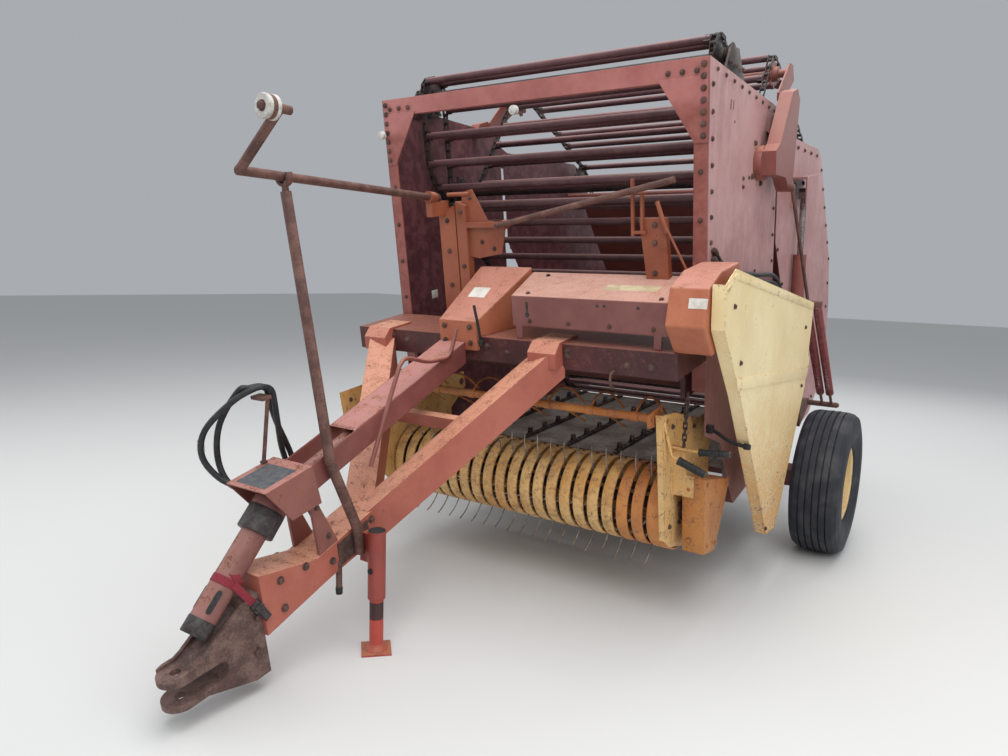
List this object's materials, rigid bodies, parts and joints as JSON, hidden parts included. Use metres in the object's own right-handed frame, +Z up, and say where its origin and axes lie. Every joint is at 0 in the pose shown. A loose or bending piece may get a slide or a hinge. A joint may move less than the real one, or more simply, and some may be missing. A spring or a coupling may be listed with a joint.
{
  "type": "round baler",
  "caption": "Towed round baler with a chain-and-slat apron in a hinged tailgate, a drum pickup with tines, a drawbar tongue with jack, and two ribbed tyres.",
  "frame": {"origin": "bottom centre of the bounding box, on the ground", "axes": "+Z up, -Y towards the tongue and the tractor, +X towards the machine's own left side"},
  "size_m": [2.425, 4.2337, 2.5026],
  "materials": {
    "red_paint": "faded, rusted",
    "pale_red_paint": "faded, streaked",
    "dark_red_paint": "worn to rust",
    "orange_paint": "faded",
    "cream_paint": "faded, rusted edges",
    "yellow_paint": "faded, rusted",
    "worn_steel": "rusted",
    "hose_rubber": "matte",
    "tyre_rubber": "matte",
    "floor_steel": "polished by hay"
  },
  "bodies": {
    "frame": {"side_sheet_left": "pale_red_paint", "side_sheet_right": "pale_red_paint", "front_frame": "red_paint", "cross_beam": "red_paint", "axle_frame": "red_paint", "floor": "floor_steel", "floor_chains": "worn_steel", "tongue": "red_paint", "hitch_clevis": "worn_steel", "shaft_hood": "orange_paint", "shaft_shield": "pale_red_paint", "front_shaft": "red_paint", "gear_cover": "orange_paint", "driveline_cover": "red_paint", "end_guard": "red_paint", "apron_front": "dark_red_paint", "apron_sprockets": "worn_steel", "take_up_arms": "red_paint", "tension_springs": "dark_red_paint", "twine_stands": "orange_paint", "crank_post": "dark_red_paint", "hose_holder": "orange_paint", "tongue_hoses": "hose_rubber", "side_hoses": "hose_rubber", "jack_tube": "red_paint"},
    "wheel_left": {"tyre_left": "tyre_rubber", "rim_left": "cream_paint"},
    "wheel_right": {"tyre_right": "tyre_rubber", "rim_right": "cream_paint"},
    "tailgate": {"tailgate_sheets": "pale_red_paint", "tailgate_frame": "red_paint", "apron_rear": "dark_red_paint", "tailgate_rollers": "worn_steel"},
    "barrel_left": {"cylinder_left": "pale_red_paint"},
    "rod_left": {"cylinder_rod_left": "worn_steel"},
    "barrel_right": {"cylinder_right": "pale_red_paint"},
    "rod_right": {"cylinder_rod_right": "worn_steel"},
    "jack_leg": {"jack_leg": "red_paint"},
    "side_shield": {"left_shield": "cream_paint"},
    "pickup": {"pickup_frame": "yellow_paint", "pickup_bands": "yellow_paint"},
    "reel": {"pickup_reel": "worn_steel"},
    "wind_guard": {"wind_guard": "yellow_paint"},
    "crank": {"crank": "dark_red_paint"},
    "twine_arm": {"twine_tube": "dark_red_paint"}
  },
  "joints": [
    {"name": "wheel_left_spin", "type": "hinge", "parent": "frame", "child": "wheel_left", "pos_m": [1.09, 0.87524, 0.375], "axis": [1, 0, 0], "continuous": true},
    {"name": "wheel_right_spin", "type": "hinge", "parent": "frame", "child": "wheel_right", "pos_m": [-1.09, 0.87524, 0.375], "axis": [1, 0, 0], "continuous": true},
    {"name": "tailgate_lift", "type": "hinge", "parent": "frame", "child": "tailgate", "pos_m": [0, 0.52805, 2.08617], "axis": [1, 0, 0], "range_deg": [0, 55]},
    {"name": "barrel_left_swing", "type": "hinge", "parent": "frame", "child": "barrel_left", "pos_m": [0.84, 1.01221, 0.82883], "axis": [1, 0, 0], "range_deg": [-1.31, 0.05]},
    {"name": "rod_left_slide", "type": "slide", "parent": "barrel_left", "child": "rod_left", "axis": [0, -0.0802, 0.9968], "range_m": [0, 0.4152]},
    {"name": "barrel_right_swing", "type": "hinge", "parent": "frame", "child": "barrel_right", "pos_m": [-0.84, 1.01221, 0.82883], "axis": [1, 0, 0], "range_deg": [-1.31, 0.05]},
    {"name": "rod_right_slide", "type": "slide", "parent": "barrel_right", "child": "rod_right", "axis": [0, -0.0802, 0.9968], "range_m": [0, 0.4152]},
    {"name": "jack_slide", "type": "slide", "parent": "frame", "child": "jack_leg", "axis": [0, 0, 1], "range_m": [-0.06, 0.14]},
    {"name": "side_shield_swing", "type": "hinge", "parent": "frame", "child": "side_shield", "pos_m": [0.965, 0.71613, 1.08346], "axis": [0, -0.165, 0.9863], "range_deg": [0, 65]},
    {"name": "pickup_lift", "type": "hinge", "parent": "frame", "child": "pickup", "pos_m": [0, 0.0431, 0.80353], "axis": [1, 0, 0], "range_deg": [0, 12]},
    {"name": "reel_spin", "type": "hinge", "parent": "pickup", "child": "reel", "pos_m": [0, -0.34482, 0.45574], "axis": [1, 0, 0], "continuous": true},
    {"name": "wind_guard_swing", "type": "hinge", "parent": "pickup", "child": "wind_guard", "pos_m": [0, -0.57591, 0.86724], "axis": [1, 0, 0], "range_deg": [-5, 15]},
    {"name": "crank_turn", "type": "hinge", "parent": "frame", "child": "crank", "pos_m": [-0.456, -0.54098, 1.7491], "axis": [0.1296, -0.9912, -0.0285], "continuous": true},
    {"name": "twine_arm_swing", "type": "hinge", "parent": "frame", "child": "twine_arm", "pos_m": [-0.11, -0.53991, 1.62153], "axis": [0, 0.9863, 0.165], "range_deg": [-8, 18]}
  ],
  "couplings": [
    {"joint": "barrel_left_swing", "follows": "tailgate_lift", "ratio": -0.022982},
    {"joint": "rod_left_slide", "follows": "tailgate_lift", "m_per_rad": 0.43197},
    {"joint": "barrel_right_swing", "follows": "tailgate_lift", "ratio": -0.022982},
    {"joint": "rod_right_slide", "follows": "tailgate_lift", "m_per_rad": 0.43197}
  ]
}
